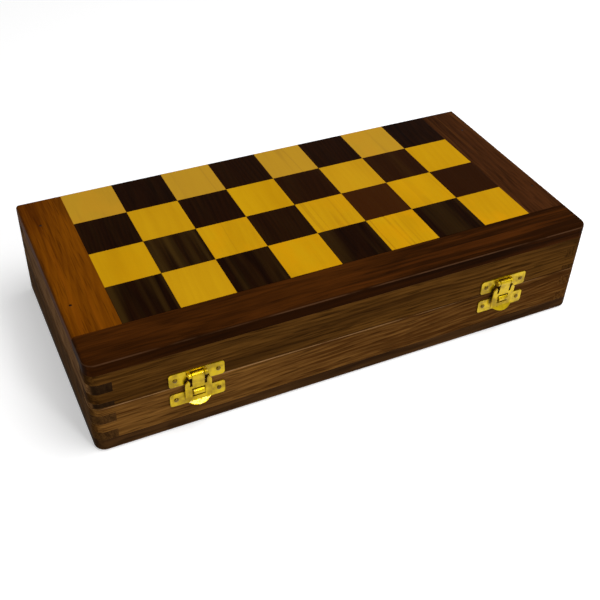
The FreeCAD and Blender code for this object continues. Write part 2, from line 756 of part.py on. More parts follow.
def hasp_face(sketch):
    """The hasp from the front, with everything outside its outline and inside its window to be cut away."""
    half, neck = "(size.hasp_width / 2)", "(size.hasp_neck_width / 2)"
    horn = f"({neck} + size.hasp_horn_gap)"
    tip = f"({horn} + size.hasp_horn_tip_offset)"
    slot = f"({HASP_WINDOW_HIGH} + size.hasp_shoulder)"
    inner_top = f"{slot} + size.hasp_horn_inner_height"
    tip_top = f"{slot} + size.hasp_horn_tip_height"
    outer_top = f"{slot} + size.hasp_horn_outer_height"
    leg_end = f"{HASP_FLARE} - size.hasp_lip_tail"
    outline(
        sketch,
        [
            (neck, "size.overrun"),
            (f"-{neck}", "size.overrun"),
            (f"-{neck}", slot),
            (f"-{horn}", slot),
            (f"-{horn}", inner_top),
            (f"-{tip}", tip_top),
            (f"-{half}", outer_top),
            (f"-{half}", leg_end),
            (half, leg_end, "size.hasp_lip_radius", 1),
            (half, outer_top),
            (tip, tip_top),
            (horn, inner_top),
            (horn, slot),
            (neck, slot),
        ],
    )
    window = "(size.hook_width / 2 + size.hasp_window_side)"
    rectangle(sketch, f"-{window}", HASP_WINDOW_LOW, window, HASP_WINDOW_HIGH)
    margin = f"({half} + size.overrun)"
    lowest = f"{leg_end} - size.hasp_lip_radius"
    rectangle(sketch, f"-{margin}", lowest, margin, "2 * size.overrun")


def hasp(name, side):
    body = new_body(f"{name}_hasp")
    section = sketch_on(body, "YZ_Plane")
    hasp_section(section)
    pad(body, section, "size.hasp_width", symmetric=True)
    face = sketch_on(body, "XZ_Plane")
    hasp_face(face)
    pocket(body, face)
    roll = sketch_on(body, "YZ_Plane")
    circle(roll, "0", "0", "size.latch_roll_radius")
    pad(body, roll, "size.hasp_neck_width", symmetric=True)
    bore = sketch_on(body, "YZ_Plane")
    circle(bore, "0", "0", "size.latch_pin_radius + size.latch_running_clearance")
    pocket(body, bore)
    keep(put(body, f"{side} * {LATCH_X}", LATCH_PIN_Y, LATCH_PIN_Z), f"{name}_hasp")


def nail_places():
    steps = [(side, step) for side in SIDES.values() for step in (-1, 1)]
    return [f"{side} * {LATCH_X} + {step} * size.latch_nail_spacing / 2" for side, step in steps]


def nail(x, level):
    """A nail with a domed head, driven into the front wall through a plate."""
    dome = doc.addObject("Part::Ellipsoid", "dome")
    dome.setExpression("Radius1", "size.nail_head_height")
    dome.setExpression("Radius2", "size.nail_head_radius")
    dome.Angle1 = 0
    shank_length = "(size.latch_plate_thickness + size.nail_length)"
    shank = rod(("0", "0", f"-{shank_length}"), "size.nail_shank_radius", shank_length)
    outwards = FreeCAD.Rotation(FreeCAD.Vector(1, 0, 0), 90)
    seat = f"{FRONT} - size.latch_plate_thickness"
    return put(fuse([dome, shank]), x, seat, level, outwards)


def clasps():
    for name, side in SIDES.items():
        latch_plate(name, side)
        catch_plate(name, side)
        hasp(name, side)
        pin_half = f"({KNUCKLE_END} + size.latch_pin_overhang)"
        start = (f"{side} * {LATCH_X} - {pin_half}", LATCH_PIN_Y, LATCH_PIN_Z)
        keep(rod(start, "size.latch_pin_radius", f"2 * {pin_half}", along="X"), f"{name}_latch_pin")
    for half, label in (("base", "catch_nails"), ("lid", "latch_plate_nails")):
        keep(group([nail(x, NAIL_LEVEL[half]) for x in nail_places()]), label)


tray("base")
tray("lid")
hinges()
clasps()
doc.recompute()

for thing in doc.Objects:
    if "Invalid" in thing.State or "Error" in thing.State:
        raise RuntimeError(f"{thing.Label} failed: {thing.State}")
for part in parts:
    if part.Shape.isNull() or not part.Shape.isValid() or not part.Shape.Solids:
        raise RuntimeError(f"{part.Label} has no valid solid")

os.makedirs("parts", exist_ok=True)
for part in parts:
    part.Shape.exportStep(f"parts/{part.Label}.step")
print(f"{len(parts)} parts, {sum(len(part.Shape.Solids) for part in parts)} solids")
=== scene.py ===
import bmesh
import bpy
import math
from mathutils import Color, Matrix, Quaternion, Vector, noise


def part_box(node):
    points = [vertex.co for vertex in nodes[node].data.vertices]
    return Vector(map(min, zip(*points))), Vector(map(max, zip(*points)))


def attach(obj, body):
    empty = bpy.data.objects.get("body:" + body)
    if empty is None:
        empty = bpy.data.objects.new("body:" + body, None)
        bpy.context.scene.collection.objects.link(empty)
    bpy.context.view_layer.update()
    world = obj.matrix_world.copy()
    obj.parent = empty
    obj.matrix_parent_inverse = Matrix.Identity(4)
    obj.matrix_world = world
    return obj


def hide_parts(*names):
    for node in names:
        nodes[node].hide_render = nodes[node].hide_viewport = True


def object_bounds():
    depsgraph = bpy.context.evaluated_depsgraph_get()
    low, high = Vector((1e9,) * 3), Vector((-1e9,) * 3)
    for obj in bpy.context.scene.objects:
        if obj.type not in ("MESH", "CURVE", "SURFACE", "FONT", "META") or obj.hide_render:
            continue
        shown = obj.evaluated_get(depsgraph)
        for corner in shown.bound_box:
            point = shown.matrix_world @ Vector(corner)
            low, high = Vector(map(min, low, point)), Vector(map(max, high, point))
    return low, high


# A folding chess board, dressed over its solids. Metres, in the solids' own frame: +X runs along the
# box to the right, the clasps face -Y, +Z is up and the box stands on z = 0.

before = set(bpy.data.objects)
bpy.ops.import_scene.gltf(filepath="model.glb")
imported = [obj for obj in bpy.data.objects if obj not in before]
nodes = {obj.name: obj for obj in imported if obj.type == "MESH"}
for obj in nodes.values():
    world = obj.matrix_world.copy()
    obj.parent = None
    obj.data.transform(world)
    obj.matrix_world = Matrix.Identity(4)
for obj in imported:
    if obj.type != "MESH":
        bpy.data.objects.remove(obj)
cad_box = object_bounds()

# Values used throughout. Noise and shares run from 0 to 1, so their middle is a half
MM = 0.001
WHITE = (1, 1, 1, 1)
SCREEN_WHITE = 255
RISE = (0.0, 1.0)
FALL = (1.0, 0.0)
MIDDLE = 0.5
CENTRE = (MIDDLE, MIDDLE, MIDDLE)

# Camera
CAMERA_PLACE = Vector((-204.2, -406.7, 377.2)) * MM
CAMERA_AIM = Vector((-18.2, -36.6, 31.4)) * MM
CAMERA_ROLL = math.radians(2.13)
CAMERA_LENS = 55.87

# Floor, which looks whiter to the eye the further it is from the box
FLOOR_RADIUS = 6.0
FLOOR_SIDES = 96
FLOOR_DROP = 0.05 * MM
FLOOR_COLOUR = (0.86, 0.86, 0.86, 1)
FLOOR_DISTANCES = (0.4, 1.8)
FLOOR_LIFTS = (0.42, 0.75)

# Walls, ceiling and backdrop. Their limits say how far a direction points up or to the right, up to 1
WALL_TOP = (0.40, 0.72)
WALL_AND_CEILING_LIGHT = (0.68, 0.08)
LEFT_WALL_EDGE = (-0.8, 0.2)
LEFT_WALL_SHARES = (0.45, 1.0)
BACKDROP_TOP = (0.30, 0.45)

# Lamps
OVERHEAD_PLACE = (0.30, -0.25, 1.10)
OVERHEAD_WIDTH = 0.90
OVERHEAD_POWER = 10.2
FRONT_PLACE = (0.20, -1.03, 0.90)
FRONT_WIDTH = 0.20
FRONT_POWER = 3.6

# Soft edges of the solids
WELD_DISTANCE = 0.01 * MM
FLAT_ANGLE = math.radians(0.3)
SHARP_ANGLE = math.radians(32)
EDGE_SEGMENTS = 3
SOFT_EDGES = {"wall": 0.20 * MM, "border": 0.15 * MM, "metal": 0.15 * MM}

# Board of squares. The shift settles which squares have an odd tone, and the rarity how few they are
COLUMNS = 8
BACK_ROW = 3
SQUARES_LOW, SQUARES_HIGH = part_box("lid_light_squares")
SQUARE_SIZE = (SQUARES_HIGH.x - SQUARES_LOW.x) / COLUMNS
HALF_HEIGHT = (cad_box[1].z - cad_box[0].z) / 2
BELOW_SQUARES = -HALF_HEIGHT / 4
CHANCE_SHIFT = (298, 145, 17)
RARITY = 6
SEAM_SHARES = (0.490, 0.499)
SEAM_DARKNESS = 0.6

# Noise of the timber's markings: how fine it is along the grain, across it and into the board, per
# metre, and its layers of detail
WANDER = ((7, 24, 24), 2.0)
DRIFT = ((9, 36, 36), 2.0)
CLOUDING = ((12, 45, 45), 2.0)
BROAD_FIBRE = ((20, 480, 480), 3.0)
FINE_FIBRE = ((60, 1200, 1200), 5.0)
STREAK = ((4, 190, 90), 3.0)
VEIN = ((3, 90, 60), 1.5)
VEIN_PATCH = ((6, 40, 40), 1.0)
PORE = ((70, 1150, 1150), 0.0)
# Patches of rubbed wood on round edges, whose paler tone also stands as a painted highlight
RUB_AND_SHEEN = ((40, 40, 40), 3.0)
LIGHT_PATCH = ((40, 60, 60), 3.0)
DARK_PATCH = ((5, 110, 110), 3.0)

# Levels of that noise from which a marking shows and at which it is full
STREAK_LEVELS = (0.52, 0.66)
VEIN_PATCH_LEVELS = (0.40, 0.62)
PORE_LEVELS = (0.60, 0.74)
RUB_AND_SHEEN_LEVELS = (0.30, 0.60)
PATCH_LEVELS = (0.40, 0.70)

# Growth rings, in shares of a ring, round a heart that runs slightly askew to the board
SIDEWAYS_FROM_HEART = (0.10, 1, 0)
INWARDS_FROM_HEART = (0.05, 0, 1)
RING_DRIFT = 4
LATE_WOOD = (0.1, 0.8)
RING_END = (0.85, 1.0)

# Other features of the timber
SAWN_AT = math.radians(24)
QUARTER_TURN = math.radians(90)
WANDER_REACH = (0, 6 * MM, 6 * MM)
VEIN_LINES = 5
VEIN_WIDTH = (0.0, 0.16)
GRAIN_DEPTH = 0.05 * MM
FIBRE_RELIEF = 0.4
FIBRE_DULLNESS = 0.25
PORE_DULLNESS = 0.2
WOOD_GLOSS = 0.005
SQUARE_GLOSS = 0.008

# How far a face has to point a way to count as an end, as an outer edge or as a rubbed round edge.
# The rubbed round edges are paler from wear and are also painted with a highlight
END_FACING = (0.55, 0.85)
EDGE_FACING = (0.50, 0.95)
RUBBED_AND_SHEEN_FROM = {"wall": (0.12, 0.40), "border": (0.04, 0.20)}
RUBBED_AND_SHEEN_UP_TO = {"wall": (0.80, 0.97), "border": (0.40, 0.60)}

# Outer edges are paler near the ends of a board, in shares of the way from its middle
PALER_FROM_SHARE = 0.5
PALEST_SHARE = 0.9
PALE_EDGE_SHARE = 0.5

# Metal: noise per metre of its smears and scratches, their levels, and the lacquer on it
SMEAR = ((160, 160, 160), 4.0)
SCRATCH_ALONG = ((60, 2400, 900), 1.0)
SCRATCH_ACROSS = ((2400, 60, 900), 1.0)
SMEAR_LEVELS = (0.38, 0.66)
SCRATCH_LEVELS = (0.68, 0.74)
SMEAR_DULLNESS = 0.12
SCRATCH_DULLNESS = 0.10
SCRATCH_DEPTH = 0.012 * MM
LACQUER_WEIGHT = 0.2
LACQUER_ROUGHNESS = 0.03

# Felt: noise per metre of its matting and hairs, and the form of the linings
MATTING = ((45, 45, 45), 3.0)
HAIR = ((1400, 1400, 1400), 4.0)
MATTING_SHARE = 0.25
HAIR_SHARE = 0.75
FELT_LEVELS = (0.32, 0.68)
FELT_ROUGHNESS = 0.95
FELT_GLOSS = 0.1
FELT_SHEEN = 0.15
HAIR_DEPTH = 0.30 * MM
FELT_STEP = 4 * MM
FELT_EDGE_SHARE = 0.45
FELT_DIP = 0.12 * MM
FELT_DIP_SCALE = 28.0


def tint(red, green, blue):
    """A colour given as it looks on a screen, from 0 to 255."""
    shown = Color((red, green, blue)) / SCREEN_WHITE
    return (*shown.from_srgb_to_scene_linear(), 1)


def wood_tones(**tones):
    """The tones of a wood, under the names of the grain's inputs."""
    return {name.capitalize(): tint(*tone) for name, tone in tones.items()}


# Tones of the woods. On walls and borders the last one, paler rubbed wood, is also a painted highlight
# on round edges
LID_WALL = wood_tones(
    pale=(96, 62, 22),
    deep=(50, 28, 6),
    streak=(40, 20, 5),
    vein=(22, 9, 2),
    rubbed=(110, 78, 46),
)
BASE_WALL = wood_tones(
    pale=(128, 87, 38),
    deep=(74, 43, 14),
    streak=(52, 28, 7),
    vein=(28, 12, 3),
    rubbed=(168, 128, 84),
)
# Tones of the left walls: the lid's are paler and greyer, a painted sheen, and the base's darker,
# painted shade, over the tones of their own wood
LID_END_WITH_SHEEN = wood_tones(
    pale=(134, 95, 56),
    deep=(84, 56, 29),
    streak=(58, 36, 16),
    vein=(20, 10, 4),
    rubbed=(130, 96, 62),
)
BASE_END_WITH_SHADE = wood_tones(
    pale=(92, 62, 29),
    deep=(54, 33, 13),
    streak=(36, 20, 7),
    vein=(20, 9, 3),
    rubbed=(96, 70, 44),
)
FRONT_BORDER = wood_tones(
    pale=(76, 38, 7),
    deep=(38, 16, 2),
    streak=(88, 44, 10),
    vein=(18, 6, 1),
    rubbed=(84, 56, 36),
)
BASE_BORDER = wood_tones(
    pale=(90, 60, 30),
    deep=(46, 28, 12),
    streak=(40, 22, 8),
    vein=(24, 11, 4),
    rubbed=(96, 70, 44),
)
LEFT_BORDER = wood_tones(
    pale=(122, 66, 3),
    deep=(82, 38, 1),
    streak=(132, 70, 5),
    vein=(48, 21, 1),
    rubbed=(110, 68, 26),
)
RIGHT_BORDER = wood_tones(
    pale=(71, 38, 15),
    deep=(36, 16, 4),
    streak=(92, 54, 22),
    vein=(20, 8, 2),
    rubbed=(84, 56, 36),
)
LIGHT_SQUARE = wood_tones(
    pale=(204, 154, 10),
    deep=(184, 131, 4),
    streak=(208, 146, 4),
    vein=(140, 88, 10),
    rubbed=(204, 154, 10),
)
DARK_SQUARE = wood_tones(
    pale=(33, 13, 2),
    deep=(17, 5, 1),
    streak=(66, 46, 14),
    vein=(7, 2, 1),
    rubbed=(33, 13, 2),
)
# A paler odd tone: the wood's own in squares picked by chance, and a painted sheen on the back row of
# light squares
PALE_AND_SHEEN_LIGHT_SQUARE = tint(180, 138, 44)
PALE_DARK_SQUARE = tint(82, 40, 6)

# How strong the markings of each wood are. The heart is the depth of its tone, here a middling one
HEART = 0.35
MARKINGS = {
    "wall": {
        "Ring spacing": 2.6 * MM,
        "Rings": 0.3,
        "Clouding": 1.0,
        "Streaks": 0.4,
        "Veins": 0.4,
        "Fibre": 1.4,
        "Pores": 0.5,
        "Dullness": 0.7,
    },
    "border": {
        "Ring spacing": 4.2 * MM,
        "Rings": 0.22,
        "Clouding": 1.8,
        "Streaks": 0.5,
        "Veins": 0.4,
        "Fibre": 0.9,
        "Pores": 0.35,
        "Dullness": 0.5,
    },
    "light square": {
        "Heart": HEART,
        "Ring spacing": 3.5 * MM,
        "Rings": 0.12,
        "Clouding": 1.4,
        "Fibre": 0.22,
        "Pores": 0.03,
        "Dullness": 0.45,
    },
    "dark square": {
        "Heart": HEART,
        "Ring spacing": 2.2 * MM,
        "Rings": 0.35,
        "Clouding": 1.0,
        "Fibre": 0.9,
        "Pores": 0.2,
        "Dullness": 0.45,
    },
}

# Each wall's tones, how deep they are from its first end to its last, and how dark the ends are
WALLS = {
    "front": {"base": (BASE_WALL, (0.34, 0.80), 0.5), "lid": (LID_WALL, (0.25, 0.20), 0.5)},
    "back": {"base": (BASE_WALL, (0.50, 0.35), 0.5), "lid": (LID_WALL, (0.20, 0.30), 0.5)},
    # The left walls' tones paint a sheen on the lid and shade on the base
    "left": {"base": (BASE_END_WITH_SHADE, (HEART, HEART), 0.15), "lid": (LID_END_WITH_SHEEN, (HEART, HEART), 0.9)},
    "right": {"base": (BASE_WALL, (0.55, HEART), 0.3), "lid": (LID_WALL, (0.20, HEART), 0.3)},
}
# Each border's tones and how deep they are from its first end to its last
BORDERS = {
    "front": {"base": (BASE_BORDER, (0.45, 0.60)), "lid": (FRONT_BORDER, (0.25, 0.80))},
    "left": {"base": (BASE_BORDER, (0.60, HEART)), "lid": (LEFT_BORDER, (HEART, HEART))},
    "right": {"base": (BASE_BORDER, (HEART, 0.50)), "lid": (RIGHT_BORDER, (HEART, HEART))},
}
# How dark the borders' ends and outer edges are, and how far edges are rubbed from end to end. The
# rubbed tone is paler worn wood and also a painted highlight along the round edges
BORDER_END = 0.6
BORDER_EDGES = {"base": 0.15, "lid": 0.72}
NO_EDGE = 0.0
BORDER_RUB_AND_SHEEN = (0.75, 0.75)
WALL_RUB_AND_SHEEN = {"base": (0.80, 0.25), "lid": (0.45, 0.30)}

# Where in the timber the boards are cut from: the first one, and the way from one to the next
FIRST_WALL_CUT = Vector((0, 0, 0.05))
NEXT_WALL_CUT = Vector((0.21, 0.13, 0.017))
LID_WALL_CUT = Vector((0.43, 0, 0))
FIRST_BORDER_CUT = Vector((0, 0, 0.03))
NEXT_BORDER_CUT = Vector((0.31, 0.11, 0))
LID_BORDER_CUT = Vector((0.37, 0, 0))
CORE_CUT = Vector((0.9, 0.2, 0.1))


# Shader nodes

# Which of a mix node's sockets take and give colours. Its names don't tell them from the other kinds
MIX_FIRST = 6
MIX_SECOND = 7
MIX_RESULT = 2


class Wiring:
    """Adds shader nodes to one tree and joins them up."""

    def __init__(self, tree):
        self.tree = tree

    def feed(self, socket, given):
        if isinstance(given, bpy.types.NodeSocket):
            self.tree.links.new(given, socket)
        else:
            socket.default_value = given

    def add(self, kind, inputs=None, **settings):
        made = self.tree.nodes.new(f"ShaderNode{kind}")
        for name, setting in settings.items():
            setattr(made, name, setting)
        for socket, given in (inputs or {}).items():
            self.feed(made.inputs[socket], given)
        return made

    def use(self, group, inputs):
        """A shared effect, with this material's own values."""
        return self.add("Group", inputs, node_tree=group).outputs

    def maths(self, operation, *values):
        return self.add("Math", dict(enumerate(values)), operation=operation).outputs[0]

    def vector(self, operation, *values):
        made = self.add("VectorMath", dict(enumerate(values)), operation=operation)
        return made.outputs["Value" if operation in ("LENGTH", "DOT_PRODUCT") else "Vector"]

    def split(self, vector):
        return self.add("SeparateXYZ", {"Vector": vector}).outputs

    def cloud(self, vector, scale, detail):
        """Noise whose cells are stretched: the larger a number, the finer the noise that way."""
        stretched = self.vector("MULTIPLY", vector, scale)
        return self.add("TexNoise", {"Vector": stretched, "Scale": 1.0, "Detail": detail}).outputs

    def swing(self, vector, scale, detail):
        """The same noise, to both sides of zero."""
        return self.maths("SUBTRACT", self.cloud(vector, scale, detail)["Fac"], MIDDLE)

    def ease(self, value, limits, ends=RISE):
        """Goes smoothly from one end to the other as a value passes from one limit to the other."""
        inputs = {
            "Value": value,
            "From Min": limits[0],
            "From Max": limits[1],
            "To Min": ends[0],
            "To Max": ends[1],
        }
        return self.add("MapRange", inputs, interpolation_type="SMOOTHSTEP").outputs[0]

    def seen(self):
        """1 for what the camera sees, straight or in a reflection, and 0 for light on the object."""
        path = self.add("LightPath").outputs
        straight = self.maths("MAXIMUM", path["Is Camera Ray"], path["Is Transmission Ray"])
        return self.maths("MAXIMUM", straight, path["Is Glossy Ray"])

    def mix(self, share, first, second):
        """A colour between two others, from the first at 0 to the second at 1."""
        inputs = {"Factor": share, MIX_FIRST: first, MIX_SECOND: second}
        return self.add("Mix", inputs, data_type="RGBA").outputs[MIX_RESULT]


def new_material(name):
    material = bpy.data.materials.new(name)
    material.use_nodes = True
    material.node_tree.nodes.clear()
    return material, Wiring(material.node_tree)


def finish_material(w, inputs, height, depth):
    """Joins a surface to the material's output, with a relief of a given depth."""
    relief = w.add("Bump", {"Height": height, "Strength": 1.0, "Distance": depth})
    surface = w.add("BsdfPrincipled", inputs | {"Normal": relief.outputs[0]})
    w.add("OutputMaterial", {"Surface": surface.outputs[0]})


# Camera and studio


def place_camera():
    camera = bpy.data.objects.new("camera", bpy.data.cameras.new("camera"))
    camera.data.lens = CAMERA_LENS
    camera.location = CAMERA_PLACE
    camera.rotation_mode = "QUATERNION"
    aimed = (CAMERA_AIM - CAMERA_PLACE).to_track_quat("-Z", "Y")
    camera.rotation_quaternion = aimed @ Quaternion((0, 0, 1), CAMERA_ROLL)
    bpy.context.scene.collection.objects.link(camera)
    bpy.context.scene.camera = camera


def soft_lamp(name, place, width, power):
    """A square softbox that faces the middle of the box."""
    lamp = bpy.data.lights.new(name, "AREA")
    lamp.shape = "SQUARE"
    lamp.size = width
    lamp.energy = power
    holder = bpy.data.objects.new(name, lamp)
    holder.location = place
    holder.rotation_mode = "QUATERNION"
    middle = (cad_box[0] + cad_box[1]) / 2
    holder.rotation_quaternion = (middle - Vector(place)).to_track_quat("-Z", "Y")
    bpy.context.scene.collection.objects.link(holder)


def white_floor():
    """A pale floor that keeps the shadow and looks white to the eye and in metal."""
    material, w = new_material("white floor")
    away = w.vector("LENGTH", w.add("TexCoord").outputs["Object"])
    whiter = w.ease(away, FLOOR_DISTANCES, FLOOR_LIFTS)
    lift = w.add("Emission", {"Strength": w.maths("MULTIPLY", w.seen(), whiter)})
    paint = w.add("BsdfDiffuse", {"Color": FLOOR_COLOUR})
    both = w.add("AddShader", {0: paint.outputs[0], 1: lift.outputs[0]})
    w.add("OutputMaterial", {"Surface": both.outputs[0]})
    return material


def lay_floor():
    mesh = bpy.data.meshes.new("floor")
    disc = bmesh.new()
    bmesh.ops.create_circle(disc, cap_ends=True, radius=FLOOR_RADIUS, segments=FLOOR_SIDES)
    disc.to_mesh(mesh)
    disc.free()
    floor = bpy.data.objects.new("floor", mesh)
    floor.location.z = cad_box[0].z - FLOOR_DROP
    mesh.materials.append(white_floor())
    bpy.context.scene.collection.objects.link(floor)


def light_world():
    """White walls all round, the left one in half shade, a dim ceiling and a white backdrop."""
    world = bpy.data.worlds.new("studio")
    world.use_nodes = True
    world.node_tree.nodes.clear()
    w = Wiring(world.node_tree)
    towards = w.split(w.add("TexCoord").outputs["Generated"])
    level = w.ease(towards["Z"], WALL_TOP, WALL_AND_CEILING_LIGHT)
    level = w.maths("MULTIPLY", level, w.ease(towards["X"], LEFT_WALL_EDGE, LEFT_WALL_SHARES))
    backdrop = w.maths("MULTIPLY", w.seen(), w.ease(towards["Z"], BACKDROP_TOP, FALL))
    sky = w.add("Background", {"Color": WHITE, "Strength": w.maths("MAXIMUM", level, backdrop)})
    w.add("OutputWorld", {"Surface": sky.outputs[0]})
    bpy.context.scene.world = world


def light_studio():
    bpy.context.scene.view_settings.view_transform = "Standard"
    lay_floor()
    light_world()
    soft_lamp("overhead softbox", OVERHEAD_PLACE, OVERHEAD_WIDTH, OVERHEAD_POWER)
    soft_lamp("front softbox", FRONT_PLACE, FRONT_WIDTH, FRONT_POWER)


# Effects shared by materials


def effect(name, inputs, outputs):
    """An empty node group, with its wiring, what comes in and what goes out."""
    tree = bpy.data.node_groups.new(name, "ShaderNodeTree")
    for label, kind in inputs.items():
        tree.interface.new_socket(label, in_out="INPUT", socket_type=f"NodeSocket{kind}")
    for label, kind in outputs.items():
        tree.interface.new_socket(label, in_out="OUTPUT", socket_type=f"NodeSocket{kind}")
    given = tree.nodes.new("NodeGroupInput").outputs
    result = tree.nodes.new("NodeGroupOutput").inputs
    return Wiring(tree), given, result


def growth_rings(w, bent, spacing):
    """Late wood of the rings, darker and darker to the end of each."""
    sideways = w.vector("DOT_PRODUCT", bent, SIDEWAYS_FROM_HEART)
    inwards = w.vector("DOT_PRODUCT", bent, INWARDS_FROM_HEART)
    from_heart = w.vector("LENGTH", w.add("CombineXYZ", {"Y": sideways, "Z": inwards}).outputs[0])
    drift = w.maths("MULTIPLY", w.cloud(bent, *DRIFT)["Fac"], RING_DRIFT)
    turns = w.maths("ADD", w.maths("DIVIDE", from_heart, spacing), drift)
    share = w.maths("FRACT", turns)
    return w.maths("MULTIPLY", w.ease(share, LATE_WOOD), w.ease(share, RING_END, FALL))


def thin_veins(w, vector, bent):
    """Thin dark lines along the grain, in patches."""
    sweep = w.maths("MULTIPLY", w.cloud(bent, *VEIN)["Fac"], VEIN_LINES)
    off_line = w.maths("ABSOLUTE", w.maths("SUBTRACT", w.maths("FRACT", sweep), MIDDLE))
    patch = w.ease(w.cloud(vector, *VEIN_PATCH)["Fac"], VEIN_PATCH_LEVELS)
    return w.maths("MULTIPLY", w.ease(off_line, VEIN_WIDTH, FALL), patch)


def timber_grain_effect():
    """Rings, streaks, veins, fibres and open pores of a board whose grain runs along X, and a paler
    rubbed tone that is partly wear and partly a painted highlight.
    """
    colours = ("Pale", "Deep", "Streak", "Vein", "Rubbed")
    markings = ("Heart", "Ring spacing", "Rings", "Clouding", "Streaks", "Veins", "Fibre", "Pores")
    wear = ("Dullness", "Side on", "Rub and sheen")
    inputs = {"Vector": "Vector"}
    inputs |= dict.fromkeys(colours, "Color")
    inputs |= dict.fromkeys(markings + wear, "Float")
    outputs = {"Color": "Color", "Roughness": "Float", "Height": "Float"}
    w, given, result = effect("timber grain", inputs, outputs)

    wander = w.vector("SUBTRACT", w.cloud(given["Vector"], *WANDER)["Color"], CENTRE)
    bent = w.vector("MULTIPLY_ADD", wander, WANDER_REACH, given["Vector"])
    rings = w.maths("MULTIPLY", growth_rings(w, bent, given["Ring spacing"]), given["Rings"])
    broad = w.swing(bent, *BROAD_FIBRE)
    fine = w.swing(bent, *FINE_FIBRE)
    fibres = w.maths("MULTIPLY", w.maths("ADD", broad, fine), given["Fibre"])
    clouds = w.maths("MULTIPLY", w.swing(bent, *CLOUDING), given["Clouding"])
    depth = w.maths("ADD", w.maths("ADD", rings, fibres), w.maths("ADD", clouds, given["Heart"]))
    colour = w.mix(w.add("Clamp", {"Value": depth}).outputs[0], given["Pale"], given["Deep"])

    streaks = w.ease(w.cloud(bent, *STREAK)["Fac"], STREAK_LEVELS)
    colour = w.mix(w.maths("MULTIPLY", streaks, given["Streaks"]), colour, given["Streak"])
    veins = w.maths("MULTIPLY", thin_veins(w, given["Vector"], bent), given["Veins"])
    pores = w.ease(w.cloud(bent, *PORE)["Fac"], PORE_LEVELS)
    pores = w.maths("MULTIPLY", pores, given["Pores"])
    dark = w.maths("MAXIMUM", w.maths("MAXIMUM", veins, pores), given["Side on"])
    colour = w.mix(dark, colour, given["Vein"])
    # Paler rubbed tone in patches: worn wood, and on round edges a painted highlight
    rubbed = w.ease(w.cloud(given["Vector"], *RUB_AND_SHEEN)["Fac"], RUB_AND_SHEEN_LEVELS)
    colour = w.mix(w.maths("MULTIPLY", rubbed, given["Rub and sheen"]), colour, given["Rubbed"])

    dull_fibres = w.maths("MULTIPLY", fine, FIBRE_DULLNESS)
    dull_pores = w.maths("MULTIPLY", pores, PORE_DULLNESS)
    dull = w.maths("ADD", dull_fibres, dull_pores)
    w.feed(result["Color"], colour)
    w.feed(result["Roughness"], w.maths("ADD", dull, given["Dullness"]))
    w.feed(result["Height"], w.maths("SUBTRACT", w.maths("MULTIPLY", fine, FIBRE_RELIEF), pores))
    return w.tree


def square_by_square_effect():
    """Tells the squares of the board apart, so that each is cut from another place in the timber."""
    w, given, result = effect(
        "square by square",
        {"Vector": "Vector"},
        {"Chance": "Color", "Tone": "Float", "Streaky": "Float", "Back row": "Float", "Seam": "Float"},
    )
    corner = (SQUARES_LOW.x, SQUARES_LOW.y, BELOW_SQUARES)
    from_corner = w.vector("SUBTRACT", given["Vector"], corner)
    counted = w.vector("DIVIDE", from_corner, (SQUARE_SIZE, SQUARE_SIZE, HALF_HEIGHT))
    number = w.vector("FLOOR", counted)
    chance = w.add("TexWhiteNoise", {"Vector": w.vector("ADD", number, CHANCE_SHIFT)}).outputs
    w.feed(result["Chance"], chance["Color"])
    w.feed(result["Tone"], chance["Value"])
    w.feed(result["Streaky"], w.split(chance["Color"])["Y"])
    w.feed(result["Back row"], w.maths("GREATER_THAN", w.split(number)["Y"], BACK_ROW - 1))
    off_middle = w.vector("SUBTRACT", w.vector("SUBTRACT", counted, number), CENTRE)
    sides = w.split(w.vector("ABSOLUTE", off_middle))
    w.feed(result["Seam"], w.ease(w.maths("MAXIMUM", sides["X"], sides["Y"]), SEAM_SHARES))
    return w.tree


def hand_wear_effect():
    """Uneven sheen from handling, and fine scratches that run along and across."""
    w, given, result = effect("hand wear", {"Vector": "Vector"}, {"Smear": "Float", "Scratch": "Float"})
    w.feed(result["Smear"], w.ease(w.cloud(given["Vector"], *SMEAR)["Fac"], SMEAR_LEVELS))
    along = w.cloud(given["Vector"], *SCRATCH_ALONG)["Fac"]
    across = w.cloud(given["Vector"], *SCRATCH_ACROSS)["Fac"]
    w.feed(result["Scratch"], w.ease(w.maths("MAXIMUM", along, across), SCRATCH_LEVELS))
    return w.tree


TIMBER_GRAIN = timber_grain_effect()
SQUARE_BY_SQUARE = square_by_square_effect()
HAND_WEAR = hand_wear_effect()


# Materials


